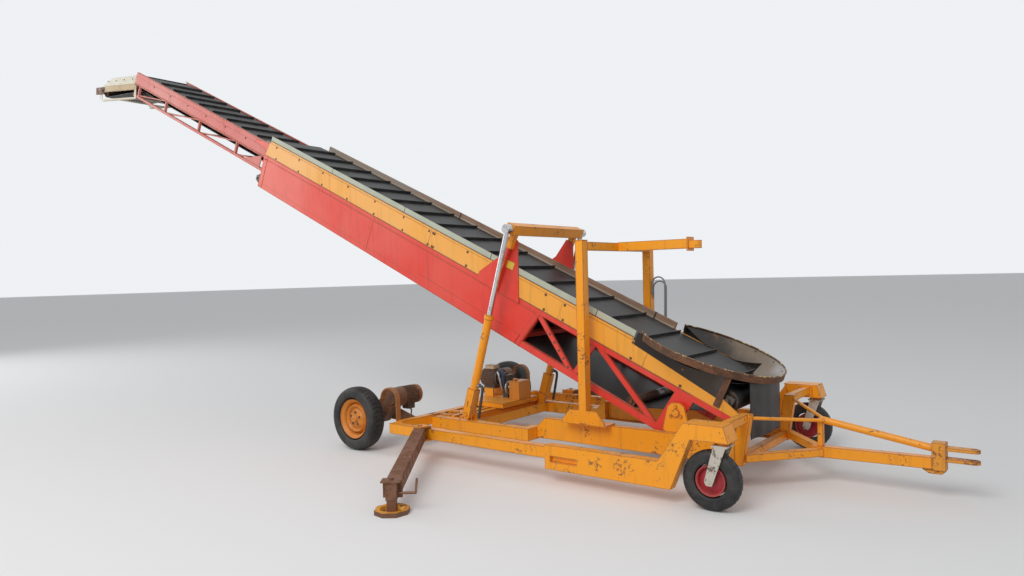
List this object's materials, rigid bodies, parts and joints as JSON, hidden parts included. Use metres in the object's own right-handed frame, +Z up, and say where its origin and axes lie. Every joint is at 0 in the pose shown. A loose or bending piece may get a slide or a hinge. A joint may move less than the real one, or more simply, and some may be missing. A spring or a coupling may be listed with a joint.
{
  "type": "mobile elevating conveyor",
  "caption": "Wheeled inclined belt conveyor with a telescopic bent head, lift cylinders, outriggers and a receiving pan.",
  "frame": {"origin": "on the ground, in the middle of the overall length and width", "axes": "+Z up, +X towards the tow hitch, -X towards the discharge head, -Y is the near side"},
  "size_m": [11.9628, 4.8614, 4.8687],
  "materials": {
    "frame_yellow": "semi-gloss paint, worn at edges",
    "panel_yellow": "faded paint",
    "boom_red": "semi-gloss paint, faded",
    "faded_red": "faded paint, chalky",
    "worn_steel": "worn steel with rust",
    "gearbox_rust": "rusty steel",
    "bed_steel": "bare steel sheet",
    "motor_dark": "dark paint, oily",
    "tyre_black": "dusty rubber",
    "rim_orange": "paint with rust",
    "rim_red": "paint, dusty",
    "belt_black": "dull rubber",
    "strip_grey": "weathered grey-green strip",
    "board_brown": "weathered board",
    "head_cream": "faded cream paint",
    "rod_chrome": "polished rod",
    "hose_grey": "grey hose cover"
  },
  "bodies": {
    "chassis": {"drawbar": "frame_yellow", "drive_unit_far": "gearbox_rust", "drive_unit_near": "gearbox_rust", "front_cross": "frame_yellow", "gantry_arm": "frame_yellow", "gantry_beam": "frame_yellow", "gantry_posts": "frame_yellow", "hose_long": "hose_grey", "hose_short": "hose_grey", "inner_rail_far": "frame_yellow", "inner_rail_near": "frame_yellow", "lift_base": "frame_yellow", "oil_tank": "frame_yellow", "power_unit": "motor_dark", "pump_deck": "frame_yellow", "rear_beam": "frame_yellow", "side_frame_far": "frame_yellow", "side_frame_near": "frame_yellow", "tow_hitch": "worn_steel"},
    "boom": {"boom_side_far": "boom_red", "boom_side_near": "boom_red", "boom_ties": "boom_red", "bridge_gussets": "boom_red", "end_roller": "worn_steel", "hopper_brackets": "frame_yellow", "hopper_pan": "worn_steel", "lift_bridge": "frame_yellow", "main_belt": "belt_black", "side_board": "board_brown", "side_panel_far": "panel_yellow", "side_panel_near": "panel_yellow", "side_strip": "strip_grey", "slider_bed": "bed_steel", "tail_curtain": "belt_black", "tail_drum": "worn_steel"},
    "extension": {"extension_belt": "belt_black", "extension_rollers": "worn_steel", "extension_side_far": "faded_red", "extension_side_near": "faded_red", "extension_ties": "faded_red", "head_drum": "motor_dark", "head_hood": "head_cream"},
    "rear_wheel_near": {"rear_tyre_near": "tyre_black", "rear_rim_near": "rim_orange"},
    "castor_near": {"castor_fork_near": "worn_steel"},
    "castor_wheel_near": {"castor_tyre_near": "tyre_black", "castor_rim_near": "rim_red"},
    "lift_barrel_near": {"lift_barrel_near": "frame_yellow"},
    "lift_rod_near": {"lift_rod_near": "rod_chrome"},
    "outrigger_near": {"outrigger_arm_near": "gearbox_rust"},
    "jack_near": {"jack_leg_near": "gearbox_rust"},
    "rear_wheel_far": {"rear_tyre_far": "tyre_black", "rear_rim_far": "rim_orange"},
    "castor_far": {"castor_fork_far": "worn_steel"},
    "castor_wheel_far": {"castor_tyre_far": "tyre_black", "castor_rim_far": "rim_red"},
    "lift_barrel_far": {"lift_barrel_far": "frame_yellow"},
    "lift_rod_far": {"lift_rod_far": "rod_chrome"},
    "outrigger_far": {"outrigger_arm_far": "gearbox_rust"},
    "jack_far": {"jack_leg_far": "gearbox_rust"}
  },
  "joints": [
    {"name": "boom_lift", "type": "hinge", "parent": "chassis", "child": "boom", "pos_m": [4.0294, 0, 0.513], "axis": [0, 1, 0], "range_deg": [-12, 1.5]},
    {"name": "extension_slide", "type": "slide", "parent": "boom", "child": "extension", "axis": [-0.91, 0, 0.4147], "range_m": [-3, 0]},
    {"name": "rear_wheel_near_spin", "type": "hinge", "parent": "chassis", "child": "rear_wheel_near", "pos_m": [1.0794, -1.15, 0.295], "axis": [0, 1, 0], "continuous": true},
    {"name": "castor_near_turn", "type": "hinge", "parent": "chassis", "child": "castor_near", "pos_m": [4.6394, -1.06, 0.45], "axis": [0, 0, 1], "continuous": true},
    {"name": "castor_wheel_near_spin", "type": "hinge", "parent": "castor_near", "child": "castor_wheel_near", "pos_m": [4.5594, -1.06, 0.204], "axis": [0, 1, 0], "continuous": true},
    {"name": "lift_barrel_near_tilt", "type": "hinge", "parent": "chassis", "child": "lift_barrel_near", "pos_m": [1.9884, -0.6, 0.33], "axis": [0, 1, 0], "range_deg": [-7.2, 1.1]},
    {"name": "lift_rod_near_slide", "type": "slide", "parent": "lift_barrel_near", "child": "lift_rod_near", "axis": [0.2895, 0, 0.9572], "range_m": [-0.41, 0.055]},
    {"name": "outrigger_near_swing", "type": "hinge", "parent": "chassis", "child": "outrigger_near", "pos_m": [1.9394, -1.19, 0.248], "axis": [0, 0, 1], "range_deg": [0, 46]},
    {"name": "jack_near_slide", "type": "slide", "parent": "outrigger_near", "child": "jack_near", "axis": [0, 0, 1], "range_m": [0, 0.05]},
    {"name": "rear_wheel_far_spin", "type": "hinge", "parent": "chassis", "child": "rear_wheel_far", "pos_m": [1.0794, 1.15, 0.295], "axis": [0, 1, 0], "continuous": true},
    {"name": "castor_far_turn", "type": "hinge", "parent": "chassis", "child": "castor_far", "pos_m": [4.6394, 1.06, 0.45], "axis": [0, 0, 1], "continuous": true},
    {"name": "castor_wheel_far_spin", "type": "hinge", "parent": "castor_far", "child": "castor_wheel_far", "pos_m": [4.5594, 1.06, 0.204], "axis": [0, 1, 0], "continuous": true},
    {"name": "lift_barrel_far_tilt", "type": "hinge", "parent": "chassis", "child": "lift_barrel_far", "pos_m": [1.9884, 0.6, 0.33], "axis": [0, 1, 0], "range_deg": [-7.2, 1.1]},
    {"name": "lift_rod_far_slide", "type": "slide", "parent": "lift_barrel_far", "child": "lift_rod_far", "axis": [0.2895, 0, 0.9572], "range_m": [-0.41, 0.055]},
    {"name": "outrigger_far_swing", "type": "hinge", "parent": "chassis", "child": "outrigger_far", "pos_m": [1.9394, 1.19, 0.248], "axis": [0, 0, -1], "range_deg": [0, 46]},
    {"name": "jack_far_slide", "type": "slide", "parent": "outrigger_far", "child": "jack_far", "axis": [0, 0, 1], "range_m": [0, 0.05]}
  ],
  "couplings": [
    {"joint": "lift_barrel_near_tilt", "follows": "boom_lift", "ratio": 0.5813},
    {"joint": "lift_rod_near_slide", "follows": "boom_lift", "m_per_rad": 1.9357},
    {"joint": "lift_barrel_far_tilt", "follows": "boom_lift", "ratio": 0.5813},
    {"joint": "lift_rod_far_slide", "follows": "boom_lift", "m_per_rad": 1.9357}
  ]
}
